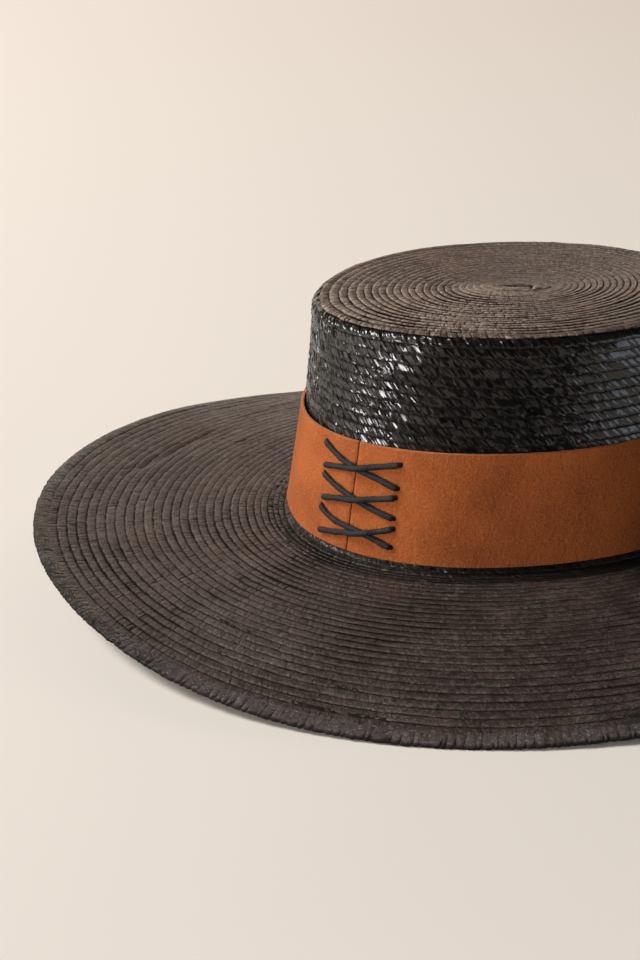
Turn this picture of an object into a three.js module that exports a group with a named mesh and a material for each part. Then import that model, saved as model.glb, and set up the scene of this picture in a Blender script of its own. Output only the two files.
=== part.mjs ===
// Wide-brimmed boater hat of dark sewn straw braid, with a leather band.
//
// Millimetres, +Z up.  The hat stands on the lowest points of its drooping
// brim at z = 0, the origin is under the middle of its bounding box, the long
// axis of the head oval is X, the wearer looks along -X and has the lacing of
// the band on the left (-Y) side.
//
// Every round piece is a lathe of its own profile (mean radius, height) that
// is then stretched to the ovals of the crown or the brim: station by station
// round the hat, from the butt seam of the band once round.

import * as THREE from 'three';
import { mergeVertices } from 'three/addons/utils/BufferGeometryUtils.js';

// ---- driving dimensions -------------------------------------------------

const STRAW = 1.8;            // thickness of the overlapped, sewn straw braid
const LIFT = 18.55;           // height of the band's lower edge above the surface
const CROWN_H = 102.2;        // crown top above the band's lower edge
const SHOULDER_R = 4.2;       // rounding between crown side and tip
const ROUND = 72;             // stations round the hat
const CLEAR = 0.3;            // gap between pieces that touch

// Crown side, outer face: half-axes, corner fullness and centre of the oval.
const CROWN = [
  { z: 0.0,     a: 101.5, b: 85.1, full: 2.17, cx: 0.0, cy: 0.0 },   // foot
  { z: 50.6,    a: 94.2,  b: 77.8, full: 2.16, cx: 2.2, cy: -0.3 },  // top of the band
  { z: 80.0,    a: 92.0,  b: 76.5, full: 2.11, cx: 3.6, cy: -0.5 },
  { z: CROWN_H, a: 91.4,  b: 76.4, full: 2.04, cx: 4.7, cy: -0.6 },  // edge of the tip
];
const TIP_TILT = -0.011;      // the tip's rim falls this much per mm towards +X
const TIP_DIP = 2.8;          // softened, sunken shoulder at the -X end
const FOOT_OUT = 4.2;         // reach of the turned-out foot of the crown

// Brim
const BRIM_ROOT_Z = -3.3;     // top face where the brim leaves the crown
const BRIM = { a: 223.7, b: 206.85, full: 2.01, cx: 0, cy: 0 };  // outer edge
const EDGE_BRAID_W = 6.5;     // width of the rolled edge braid
const EDGE_BRAID_T = 3.2;     // its thickness

// Height of the brim's edge above the band's lower edge, round the hat.
const BRIM_EDGE = [
  { deg: 0,   z: 3.0 },   { deg: 15,  z: 1.6 },   { deg: 30,  z: -2.0 },
  { deg: 45,  z: -7.2 },  { deg: 60,  z: -13.0 }, { deg: 75,  z: -16.8 },
  { deg: 90,  z: -17.6 }, { deg: 105, z: -16.6 }, { deg: 120, z: -10.4 },
  { deg: 135, z: -3.5 },  { deg: 150, z: 0.7 },   { deg: 165, z: 3.0 },
  { deg: 180, z: 3.5 },   { deg: 195, z: 1.3 },   { deg: 210, z: -4.0 },
  { deg: 225, z: -10.8 }, { deg: 240, z: -15.8 }, { deg: 255, z: -17.5 },
  { deg: 270, z: -16.1 }, { deg: 285, z: -13.4 }, { deg: 300, z: -9.7 },
  { deg: 315, z: -5.0 },  { deg: 330, z: -0.6 },  { deg: 345, z: 2.2 },
];

// Leather band
const BAND_H = 50.6;          // height of the strip
const BAND_T = 1.5;           // thickness of the leather
const BAND_SEAM = 219.0;      // station of the butt seam, degrees
const BAND_SEAM_GAP = 0.5;    // open joint between the strip's ends
const BAND_STAND_OFF = 1.2;   // the top edge stands off the crown at the -X end

// Lacing across the seam: waxed cord, a row for each strand.  u runs along
// the band from the seam and z up from its lower edge: (u0, z0) the strand's
// left end, (ua, za) and (ub, zb) two places on its way, (u1, z1) its right
// end.  The over strand climbs over the under strand at u = cross.
const CORD_D = 2.1;
const LACING = [
  { name: 'lace_upper_under',  u0: -21.0, z0: 46.4, ua: -6.1, za: 40.5, ub: 12.5, zb: 36.3, u1: 23.1, z1: 33.0 },
  { name: 'lace_upper_over',   u0: -20.0, z0: 35.1, ua: -5.7, za: 37.8, ub: 8.2,  zb: 40.9, u1: 23.0, z1: 44.3, cross: 1.5 },
  { name: 'lace_middle_under', u0: -20.0, z0: 31.8, ua: -9.7, za: 28.3, ub: 10.6, zb: 22.6, u1: 23.2, z1: 19.4 },
  { name: 'lace_middle_over',  u0: -18.9, z0: 20.3, ua: -5.1, za: 23.5, ub: 14.1, zb: 27.4, u1: 22.6, z1: 29.3, cross: 2.1 },
  { name: 'lace_lower_under',  u0: -19.7, z0: 16.7, ua: -9.6, za: 12.8, ub: 8.5,  zb: 10.4, u1: 23.5, z1: 6.1 },
  { name: 'lace_lower_over',   u0: -18.9, z0: 4.9,  ua: -2.7, za: 8.2,  ub: 15.7, zb: 12.8, u1: 23.5, z1: 15.3, cross: 7.0 },
];

// ---- colours ------------------------------------------------------------

const straw = () => new THREE.MeshStandardMaterial({ color: 0x2b2420, roughness: 0.42, metalness: 0 });
const strawBrim = () => new THREE.MeshStandardMaterial({ color: 0x30261f, roughness: 0.55, metalness: 0 });
const strawEdge = () => new THREE.MeshStandardMaterial({ color: 0x1d1916, roughness: 0.38, metalness: 0 });
const leather = () => new THREE.MeshStandardMaterial({ color: 0xa5562a, roughness: 0.9, metalness: 0 });
const cord = () => new THREE.MeshStandardMaterial({ color: 0x1b1816, roughness: 0.6, metalness: 0 });

// ---- ovals --------------------------------------------------------------

const RAD = Math.PI / 180;
const lerp = (p, q, t) => p + (q - p) * t;
const smooth = (lo, hi, v) => {
  const t = Math.min(1, Math.max(0, (v - lo) / (hi - lo)));
  return t * t * (3 - 2 * t);
};

// A point of a superellipse at the station angle t.
function oval(o, t, grow = 0) {
  const c = Math.cos(t), s = Math.sin(t), e = 2 / o.full;
  return {
    x: o.cx + Math.sign(c) * (o.a + grow) * Math.abs(c) ** e,
    y: o.cy + Math.sign(s) * (o.b + grow) * Math.abs(s) ** e,
  };
}

// The oval of the crown side at height z, between the rows of the table.
function crownOval(z) {
  const rows = CROWN;
  if (z <= rows[0].z) return rows[0];
  let i = 1;
  while (i < rows.length - 1 && z > rows[i].z) i++;
  const p = rows[i - 1], q = rows[i], t = Math.min(1, (z - p.z) / (q.z - p.z));
  const o = {};
  for (const key of ['a', 'b', 'full', 'cx', 'cy']) o[key] = lerp(p[key], q[key], t);
  return o;
}
const meanRadius = (o) => (o.a + o.b) / 2;
const FOOT_R = meanRadius(CROWN[0]);
const TIP_R = meanRadius(CROWN[CROWN.length - 1]) - SHOULDER_R;   // edge of the flat tip

// Periodic smooth interpolation of the brim's edge height.
function edgeHeight(t) {
  const n = BRIM_EDGE.length;
  const f = ((t / RAD) % 360 + 360) % 360 / (360 / n), i = Math.floor(f), w = f - i;
  const [p0, p1, p2, p3] = [-1, 0, 1, 2].map((k) => BRIM_EDGE[(i + k + n) % n].z);
  return 0.5 * (2 * p1 + (p2 - p0) * w + (2 * p0 - 5 * p1 + 4 * p2 - p3) * w * w
    + (3 * p1 - p0 - 3 * p2 + p3) * w ** 3);
}

// Mean width of the brim, crown foot to outer edge.
const BRIM_W = meanRadius(BRIM) - FOOT_R;

// ---- from a lathe profile to the hat ------------------------------------

// Plan of the foot and brim: 0 at the foot of the crown side, 1 at the edge.
function acrossBrim(s, t) {
  const i = oval(CROWN[0], t), o = oval(BRIM, t);
  return { x: lerp(i.x, o.x, s), y: lerp(i.y, o.y, s) };
}

// Crown: profile radius and height to a place on the oval crown.
function onCrown(r, z, t) {
  const o = crownOval(z), skin = r - meanRadius(o);
  let p;
  if (z < 0) {
    p = acrossBrim((r - FOOT_R) / BRIM_W, t);
  } else if (r >= TIP_R || z < CROWN_H - 10) {
    p = oval(o, t, skin);
  } else {
    const k = r / TIP_R, rim = oval(o, t, TIP_R - meanRadius(o));
    p = { x: lerp(o.cx, rim.x, k), y: lerp(o.cy, rim.y, k) };
  }
  const part = smooth(0.55 * TIP_R, TIP_R, r) * smooth(72, CROWN_H, z);
  const fall = TIP_TILT * p.x - TIP_DIP * Math.max(0, -(p.x + 20) / 70) ** 2;
  return new THREE.Vector3(p.x, p.y, LIFT + z + part * fall);
}

// Brim: nearly flat beside the crown, drooping more and more outwards.
function onBrim(r, z, t) {
  const s = (r - FOOT_R) / BRIM_W, p = acrossBrim(s, t);
  const droop = (edgeHeight(t) - BRIM_ROOT_Z) * Math.max(0, s) ** 3;
  return new THREE.Vector3(p.x, p.y, LIFT + BRIM_ROOT_Z + droop + z);
}

// Makes one closed body of a geometry: shared vertices merged, triangles
// without area dropped, faces pointing out.
function closed(geometry) {
  geometry.deleteAttribute('normal');
  geometry.deleteAttribute('uv');
  const g = mergeVertices(geometry, 1e-4);
  const index = g.getIndex().array, p = g.getAttribute('position'), faces = [];
  for (let i = 0; i < index.length; i += 3) {
    const [a, b, c] = [index[i], index[i + 1], index[i + 2]];
    if (a !== b && b !== c && a !== c) faces.push([a, b, c]);
  }
  const at = (i) => new THREE.Vector3().fromBufferAttribute(p, i);
  let volume = 0;
  for (const [a, b, c] of faces) volume += at(a).dot(at(b).cross(at(c))) / 6;
  g.setIndex(faces.flatMap(([a, b, c]) => (volume < 0 ? [a, c, b] : [a, b, c])));
  g.computeVertexNormals();
  return g;
}

// Turns a profile of (radius, height) rows and lays each point on the hat.
function turned(profile, place) {
  const points = profile.map(([r, z]) => new THREE.Vector2(r, z));
  const g = new THREE.LatheGeometry(points, ROUND);
  const p = g.getAttribute('position');
  for (let k = 0; k < p.count; k++) {
    const station = Math.floor(k / points.length) % ROUND, row = points[k % points.length];
    const v = place(row.x, row.y, (BAND_SEAM + station * 360 / ROUND) * RAD);
    p.setXYZ(k, v.x, v.y, v.z);
  }
  return closed(g);
}

function piece(name, geometry, material) {
  const mesh = new THREE.Mesh(geometry, material);
  mesh.name = name;
  return mesh;
}

// ---- crown --------------------------------------------------------------

// Outer face from the middle of the tip down to the turned-out foot, then
// back up inside: one shell, open below where the head goes in.
function crownProfile() {
  const side = (z, skin) => [meanRadius(crownOval(z)) + skin, z];
  const arc = (r, top, steps) => {
    const out = [];
    for (let k = 0; k <= steps; k++) {
      const a = (90 - 90 * k / steps) * RAD;
      out.push([TIP_R + r * Math.cos(a), top - r * (1 - Math.sin(a))]);
    }
    return out;
  };
  const outer = [
    [0, CROWN_H], [0.5 * TIP_R, CROWN_H], [0.8 * TIP_R, CROWN_H],
    ...arc(SHOULDER_R, CROWN_H, 4).slice(0, 4),
    side(CROWN_H - SHOULDER_R, 0), side(80, 0), side(50.6, 0), side(25, 0), side(0, 0),
    [FOOT_R + 0.7, -1.7], [FOOT_R + 2.2, -2.9], [FOOT_R + FOOT_OUT, BRIM_ROOT_Z],
  ];
  const inner = [
    [FOOT_R + FOOT_OUT, BRIM_ROOT_Z - STRAW], [FOOT_R + 0.8, -4.7], [FOOT_R - 1.1, -2.8],
    side(0, -STRAW), side(25, -STRAW), side(50.6, -STRAW), side(80, -STRAW),
    side(CROWN_H - SHOULDER_R, -STRAW),
    ...arc(SHOULDER_R - STRAW, CROWN_H - STRAW, 3).reverse().slice(1),
    [0.8 * TIP_R, CROWN_H - STRAW], [0.5 * TIP_R, CROWN_H - STRAW], [0, CROWN_H - STRAW],
  ];
  return [...outer, ...inner];
}

// ---- brim and its edge --------------------------------------------------

function brimProfile() {
  const r0 = FOOT_R + FOOT_OUT + CLEAR, r1 = FOOT_R + BRIM_W - EDGE_BRAID_W - CLEAR, steps = 7;
  const top = [], under = [];
  for (let k = 0; k <= steps; k++) {
    const r = lerp(r0, r1, k / steps);
    top.push([r, 0]);
    under.unshift([r, -STRAW]);
  }
  return [...top, ...under, top[0]];
}

function edgeProfile() {
  const sides = 8, rows = [], rc = FOOT_R + BRIM_W - EDGE_BRAID_W / 2, zc = 0;
  for (let k = 0; k < sides; k++) {
    const a = (k + 0.5) / sides * 2 * Math.PI, g = 1 / Math.cos(Math.PI / sides);
    rows.push([rc + Math.cos(a) * g * EDGE_BRAID_W / 2, zc + Math.sin(a) * g * EDGE_BRAID_T / 2]);
  }
  return [...rows, rows[0]];
}

// ---- band ---------------------------------------------------------------

// Outer face of the leather, or a skin this far outside the crown.
function onBand(t, z, out) {
  const away = Math.cos(t - 186 * RAD);
  const standOff = away > 0 ? BAND_STAND_OFF * away ** 24 * (z / BAND_H) ** 2 : 0;
  const o = oval(crownOval(z), t, CLEAR + standOff + out);
  return new THREE.Vector3(o.x, o.y, LIFT + z);
}

// A straight strip bent once round the crown, its ends meeting at the seam.
function bandGeometry() {
  const levels = 3, g = new THREE.BoxGeometry(ROUND, BAND_T, BAND_H, ROUND, 1, levels);
  const p = g.getAttribute('position');
  const slip = BAND_SEAM_GAP / 2 / 84 / RAD;     // half the joint, in degrees
  for (let k = 0; k < p.count; k++) {
    const step = p.getX(k) + ROUND / 2;
    let deg = BAND_SEAM + step * 360 / ROUND;
    if (step < 0.5) deg += slip;
    if (step > ROUND - 0.5) deg -= slip;
    const v = onBand(deg * RAD, p.getZ(k) + BAND_H / 2, p.getY(k) + BAND_T / 2);
    p.setXYZ(k, v.x, v.y, v.z);
  }
  return closed(g);
}

// ---- lacing -------------------------------------------------------------

// Station angle at the arc length u along the band's face from the seam.
function stationAt(u, z) {
  const from = BAND_SEAM * RAD, step = Math.sign(u) * 0.2 * RAD;
  let t = from, run = 0, last = onBand(t, z, BAND_T);
  while (run < Math.abs(u)) {
    t += step;
    const next = onBand(t, z, BAND_T), d = next.distanceTo(last);
    if (run + d >= Math.abs(u)) return t - step * (1 - (Math.abs(u) - run) / d);
    run += d;
    last = next;
  }
  return t;
}

// A strand lies on the leather and an over strand humps at the crossing.
function strandGeometry(row) {
  const flat = new THREE.CatmullRomCurve3([
    new THREE.Vector3(row.u0, row.z0, 0), new THREE.Vector3(row.ua, row.za, 0),
    new THREE.Vector3(row.ub, row.zb, 0), new THREE.Vector3(row.u1, row.z1, 0)]);
  const path = [], steps = 12;
  for (let k = 0; k <= steps; k++) {
    const q = flat.getPointAt(k / steps);
    const hump = 'cross' in row ? (CORD_D + CLEAR) * Math.exp(-(((q.x - row.cross) / 7) ** 4)) : 0;
    path.push(onBand(stationAt(q.x, q.y), q.y, BAND_T + CLEAR + CORD_D / 2 + hump));
  }
  const section = new THREE.Shape();
  section.absarc(0, 0, CORD_D / 2, 0, 2 * Math.PI, false);
  return closed(new THREE.ExtrudeGeometry(section, {
    steps, curveSegments: 4, bevelEnabled: false, extrudePath: new THREE.CatmullRomCurve3(path),
  }));
}

// ---- the hat ------------------------------------------------------------

const group = new THREE.Group();
group.add(
  piece('crown', turned(crownProfile(), onCrown), straw()),
  piece('brim', turned(brimProfile(), onBrim), strawBrim()),
  piece('brim_edge_braid', turned(edgeProfile(), onBrim), strawEdge()),
  piece('band', bandGeometry(), leather()),
);
for (const row of LACING) group.add(piece(row.name, strandGeometry(row), cord()));

export default group;
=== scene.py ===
import math

import bpy
import numpy as np
from mathutils import Matrix, Vector


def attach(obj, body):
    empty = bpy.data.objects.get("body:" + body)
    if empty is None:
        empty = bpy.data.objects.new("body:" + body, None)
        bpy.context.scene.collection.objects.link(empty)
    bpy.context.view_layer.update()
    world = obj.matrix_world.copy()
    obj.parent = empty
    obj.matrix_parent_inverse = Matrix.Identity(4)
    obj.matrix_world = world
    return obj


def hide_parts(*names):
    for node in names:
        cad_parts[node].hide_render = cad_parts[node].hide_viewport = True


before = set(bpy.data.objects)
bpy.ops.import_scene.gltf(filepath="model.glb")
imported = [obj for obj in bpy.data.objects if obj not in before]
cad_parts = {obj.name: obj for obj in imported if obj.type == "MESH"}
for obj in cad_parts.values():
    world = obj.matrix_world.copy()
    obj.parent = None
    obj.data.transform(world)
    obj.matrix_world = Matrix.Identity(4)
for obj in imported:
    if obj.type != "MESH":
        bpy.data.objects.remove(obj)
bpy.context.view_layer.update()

# ---------------------------------------------------------------------------
# Sizes, in millimetres, as the construction has them.  z is counted from the
# band's lower edge; LIFT is that edge's height above the floor.
# ---------------------------------------------------------------------------
RAD = math.pi / 180
LIFT = 18.55
CROWN_H = 102.2
SHOULDER_R = 4.2
FOOT_OUT = 4.2
BRIM_ROOT_Z = -3.3
#        z        a      b     full   cx    cy
CROWN = [
    (0.0,     101.5, 85.1, 2.17, 0.0, 0.0),
    (50.6,    94.2,  77.8, 2.16, 2.2, -0.3),
    (80.0,    92.0,  76.5, 2.11, 3.6, -0.5),
    (CROWN_H, 91.4,  76.4, 2.04, 4.7, -0.6),
]
TIP_TILT, TIP_DIP = -0.011, 2.8
BRIM_A, BRIM_B, BRIM_FULL = 223.7, 206.85, 2.01
EDGE_W, EDGE_T = 6.5, 3.2
ROLL_W, ROLL_T, ROLL_OUT = 7.3, 2.5, 0.30       # the roll as it lies, and how far it is pushed out
# height of the brim's edge every 15 degrees round the hat
BRIM_EDGE = [3.0, 1.6, -2.0, -7.2, -13.0, -16.8, -17.6, -16.6, -10.4, -3.5, 0.7, 3.0,
             3.5, 1.3, -4.0, -10.8, -15.8, -17.5, -16.1, -13.4, -9.7, -5.0, -0.6, 2.2]
BAND_H, BAND_T, BAND_SEAM, BAND_STAND_OFF, CLEAR = 50.6, 1.5, 219.0, 1.2, 0.3
CORD_D, CORD_FAT = 2.1, 1.34
#                 u0     z0    ua    za    ub    zb    u1    z1    crossing
LACING = [
    ("lace_upper_under",  -21.0, 46.4, -6.1, 40.5, 12.5, 36.3, 23.1, 33.0, None),
    ("lace_upper_over",   -20.0, 35.1, -5.7, 37.8, 8.2,  40.9, 23.0, 44.3, 1.5),
    ("lace_middle_under", -20.0, 31.8, -9.7, 28.3, 10.6, 22.6, 23.2, 19.4, None),
    ("lace_middle_over",  -18.9, 20.3, -5.1, 23.5, 14.1, 27.4, 22.6, 29.3, 2.1),
    ("lace_lower_under",  -19.7, 16.7, -9.6, 12.8, 8.5,  10.4, 23.5, 6.1,  None),
    ("lace_lower_over",   -18.9, 4.9,  -2.7, 8.2,  15.7, 12.8, 23.5, 15.3, 7.0),
]

CROWN_T = np.array(CROWN)
FOOT_R = (CROWN[0][1] + CROWN[0][2]) / 2
TIP_R = (CROWN[-1][1] + CROWN[-1][2]) / 2 - SHOULDER_R
BRIM_W = (BRIM_A + BRIM_B) / 2 - FOOT_R
# distance along the surface, from the middle of the tip to the brim's edge
S_TIP = 75.0
S_SHOULDER = S_TIP + SHOULDER_R * math.pi / 2
S_SIDE = S_SHOULDER + CROWN_H - SHOULDER_R
S_FOOT = S_SIDE + 6.0
S_EDGE = S_FOOT + BRIM_W - FOOT_OUT
SLIT_A, SLIT_X, SLIT_Y = 7.4, 7.0, -3.6


def smooth(lo, hi, v):
    t = np.clip((v - lo) / (hi - lo), 0, 1)
    return t * t * (3 - 2 * t)


def crown_oval(z):
    z = np.clip(z, 0, CROWN_H)
    return [np.interp(z, CROWN_T[:, 0], CROWN_T[:, k]) for k in (1, 2, 3, 4, 5)]


def oval(a, b, full, cx, cy, t):
    c, s, e = np.cos(t), np.sin(t), 2 / full
    return (cx + np.sign(c) * a * (np.abs(c) + 1e-12) ** e,
            cy + np.sign(s) * b * (np.abs(s) + 1e-12) ** e)


def edge_height(t):
    e = np.array(BRIM_EDGE)
    n = len(e)
    f = (t / RAD % 360) / (360 / n)
    i = np.floor(f).astype(int)
    w = f - i
    p0, p1, p2, p3 = (e[(i + k) % n] for k in (-1, 0, 1, 2))
    return 0.5 * (2 * p1 + (p2 - p0) * w + (2 * p0 - 5 * p1 + 4 * p2 - p3) * w * w
                  + (3 * p1 - p0 - 3 * p2 + p3) * w ** 3)


def across_brim(s, t):
    ix, iy = oval(*CROWN[0][1:], t)
    ox, oy = oval(BRIM_A, BRIM_B, BRIM_FULL, 0.0, 0.0, t)
    return ix + (ox - ix) * s, iy + (oy - iy) * s


def surf(sig, t):
    """Point of the hat's outer face at the distance sig from the middle of the tip and the station angle t."""
    sig, t = np.broadcast_arrays(np.asarray(sig, float), np.asarray(t, float))
    a, b, full, cx, cy = crown_oval(np.full(sig.shape, CROWN_H))
    # tip: ovals round a short slit
    q = np.clip(sig / S_TIP, 0, 1)
    k = smooth(0, 1, q)
    tx, ty = oval(SLIT_A + (a - SHOULDER_R - SLIT_A) * q, 0.3 + (b - SHOULDER_R - 0.3) * q, 2.04,
                  SLIT_X + (cx - SLIT_X) * k, SLIT_Y + (cy - SLIT_Y) * k, t)
    # shoulder
    al = np.clip((sig - S_TIP) / SHOULDER_R, 0, math.pi / 2)
    zs = CROWN_H - SHOULDER_R * (1 - np.cos(al))
    a, b, full, cx, cy = crown_oval(zs)
    grow = -SHOULDER_R * (1 - np.sin(al))
    sx, sy = oval(a + grow, b + grow, full, cx, cy, t)
    # side
    zw = np.clip(CROWN_H - SHOULDER_R - (sig - S_SHOULDER), 0, CROWN_H)
    a, b, full, cx, cy = crown_oval(zw)
    wx, wy = oval(a, b, full, cx, cy, t)
    # foot and brim
    be = np.clip((sig - S_SIDE) / (S_FOOT - S_SIDE), 0, 1) * math.pi / 2
    off = np.where(sig < S_FOOT, FOOT_OUT * (1 - np.cos(be)), FOOT_OUT + sig - S_FOOT)
    s = off / BRIM_W
    bx, by = across_brim(s, t)
    droop = (edge_height(t) - BRIM_ROOT_Z) * np.maximum(0, s) ** 3
    bz = np.where(sig < S_FOOT, BRIM_ROOT_Z * np.sin(be), BRIM_ROOT_Z + droop)

    tip, sh, side = sig < S_TIP, sig < S_SHOULDER, sig < S_SIDE
    x = np.where(tip, tx, np.where(sh, sx, np.where(side, wx, bx)))
    y = np.where(tip, ty, np.where(sh, sy, np.where(side, wy, by)))
    y = y - np.where(tip, 0.22 * (x - SLIT_X) * (1 - smooth(0, 0.45, q)), 0)
    z = np.where(tip, CROWN_H, np.where(sh, zs, np.where(side, zw, bz)))
    r = np.where(tip, q * TIP_R, TIP_R)
    part = smooth(0.55 * TIP_R, TIP_R, r) * smooth(72, CROWN_H, z)
    z = z + part * (TIP_TILT * x - TIP_DIP * np.maximum(0, -(x + 20) / 70) ** 2)
    return np.stack([x, y, z], -1)


def surf_frame(sig, t):
    """Point, outward normal and unit direction away from the middle of the tip."""
    p = surf(sig, t)
    ds = surf(sig + 0.35, t) - surf(np.maximum(sig - 0.35, 0.01), t)
    dt = surf(sig, t + 0.004) - surf(sig, t - 0.004)
    n = np.cross(ds, dt)
    n /= np.linalg.norm(n, axis=-1, keepdims=True) + 1e-12
    ds /= np.linalg.norm(ds, axis=-1, keepdims=True) + 1e-12
    return p, n, ds


def value_noise(x, seed):
    """Smooth 1-D noise in -1..1."""
    rng = np.random.default_rng(seed)
    table = rng.uniform(-1, 1, 4096)
    i = np.floor(x).astype(int)
    f = x - i
    f = f * f * (3 - 2 * f)
    return table[i % 4096] * (1 - f) + table[(i + 1) % 4096] * f


# ---------------------------------------------------------------------------
# Meshes
# ---------------------------------------------------------------------------
def mesh_object(name, verts_mm, quads, material, tris=None, uv=None, braid=None, sharp=None, smooth_shade=True):
    """A closed mesh from arrays.  verts_mm are in the band-edge frame, in mm."""
    v = np.asarray(verts_mm, float).copy()
    v[:, 2] = np.maximum(v[:, 2] + LIFT, 0.06)
    v /= 1000.0
    quads = np.asarray(quads, np.int32).reshape(-1, 4)
    tris = np.zeros((0, 3), np.int32) if tris is None else np.asarray(tris, np.int32).reshape(-1, 3)
    me = bpy.data.meshes.new(name)
    me.vertices.add(len(v))
    me.vertices.foreach_set("co", v.astype(np.float32).ravel())
    loops = np.concatenate([quads.ravel(), tris.ravel()])
    me.loops.add(len(loops))
    me.loops.foreach_set("vertex_index", loops)
    sizes = np.concatenate([np.full(len(quads), 4), np.full(len(tris), 3)])
    starts = np.concatenate([[0], np.cumsum(sizes)[:-1]])
    me.polygons.add(len(sizes))
    me.polygons.foreach_set("loop_start", starts.astype(np.int32))
    me.polygons.foreach_set("loop_total", sizes.astype(np.int32))
    me.update(calc_edges=True)
    me.polygons.foreach_set("use_smooth", np.full(len(sizes), smooth_shade))
    if uv is not None:
        layer = me.uv_layers.new(name="braid_uv")
        layer.data.foreach_set("uv", np.asarray(uv, np.float32)[loops].ravel())
    if braid is not None:
        at = me.attributes.new("braid", "FLOAT_VECTOR", "POINT")
        at.data.foreach_set("vector", np.asarray(braid, np.float32).ravel())
    if sharp is not None:
        me.set_sharp_from_angle(angle=sharp * RAD)
    me.validate()
    ob = bpy.data.objects.new(name, me)
    bpy.context.scene.collection.objects.link(ob)
    me.materials.append(material)
    return ob


def tube_quads(cols, ring, closed=False):
    """Quads of a swept closed section with `ring` points at each of `cols` columns."""
    n = cols if closed else cols - 1
    i = np.arange(n)[:, None]
    j = np.arange(ring)[None, :]
    i2, j2 = (i + 1) % cols, (j + 1) % ring
    q = np.stack([i * ring + j, i2 * ring + j, i2 * ring + j2, i * ring + j2], -1)
    return q.reshape(-1, 4)


def cap(ring, first, flip):
    t = np.array([[first, first + j, first + j + 1] for j in range(1, ring - 1)])
    return t[:, ::-1] if flip else t


# ---------------------------------------------------------------------------
# Node helpers
# ---------------------------------------------------------------------------
class Mat:
    def __init__(self, name):
        self.m = bpy.data.materials.new(name)
        self.m.use_nodes = True
        self.t = self.m.node_tree
        self.b = self.t.nodes["Principled BSDF"]

    def node(self, kind, **props):
        n = self.t.nodes.new(kind)
        for k, v in props.items():
            setattr(n, k, v)
        return n

    def link(self, a, b):
        self.t.links.new(a, b)

    def put(self, socket, v):
        if isinstance(v, bpy.types.NodeSocket):
            self.link(v, socket)
        else:
            socket.default_value = v

    def math(self, op, a, b=0.0, c=0.0, clamp=False):
        n = self.node("ShaderNodeMath", operation=op, use_clamp=clamp)
        for s, v in zip(n.inputs, (a, b, c)):
            self.put(s, v)
        return n.outputs[0]

    def vmath(self, op, a, b):
        n = self.node("ShaderNodeVectorMath", operation=op)
        self.put(n.inputs[0], a)
        self.put(n.inputs[1], b)
        return n.outputs[0]

    def noise(self, vec, scale, detail=3.0, rough=0.5, distortion=0.0):
        n = self.node("ShaderNodeTexNoise")
        self.put(n.inputs["Vector"], vec)
        n.inputs["Scale"].default_value = scale
        n.inputs["Detail"].default_value = detail
        n.inputs["Roughness"].default_value = rough
        n.inputs["Distortion"].default_value = distortion
        return n.outputs["Fac"]

    def ramp(self, v, lo, hi, out_lo=0.0, out_hi=1.0):
        n = self.node("ShaderNodeMapRange", clamp=True, interpolation_type="SMOOTHSTEP")
        for s, x in zip(n.inputs[:5], (v, lo, hi, out_lo, out_hi)):
            self.put(s, x)
        return n.outputs[0]

    def mix(self, f, a, b, mode="MIX"):
        n = self.node("ShaderNodeMix", data_type="RGBA", blend_type=mode)
        self.put(n.inputs[0], f)
        self.put(n.inputs[6], a)
        self.put(n.inputs[7], b)
        return n.outputs[2]

    def bump(self, height, distance, strength=1.0, normal=None):
        n = self.node("ShaderNodeBump")
        n.inputs["Strength"].default_value = strength
        n.inputs["Distance"].default_value = distance
        self.link(height, n.inputs["Height"])
        if normal is not None:
            self.link(normal, n.inputs["Normal"])
        return n.outputs["Normal"]

    def uv(self, name="braid_uv"):
        return self.node("ShaderNodeUVMap", uv_map=name).outputs[0]

    def obj(self):
        return self.node("ShaderNodeTexCoord").outputs["Object"]


def rgb(r, g, b):
    return (r, g, b, 1.0)


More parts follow.
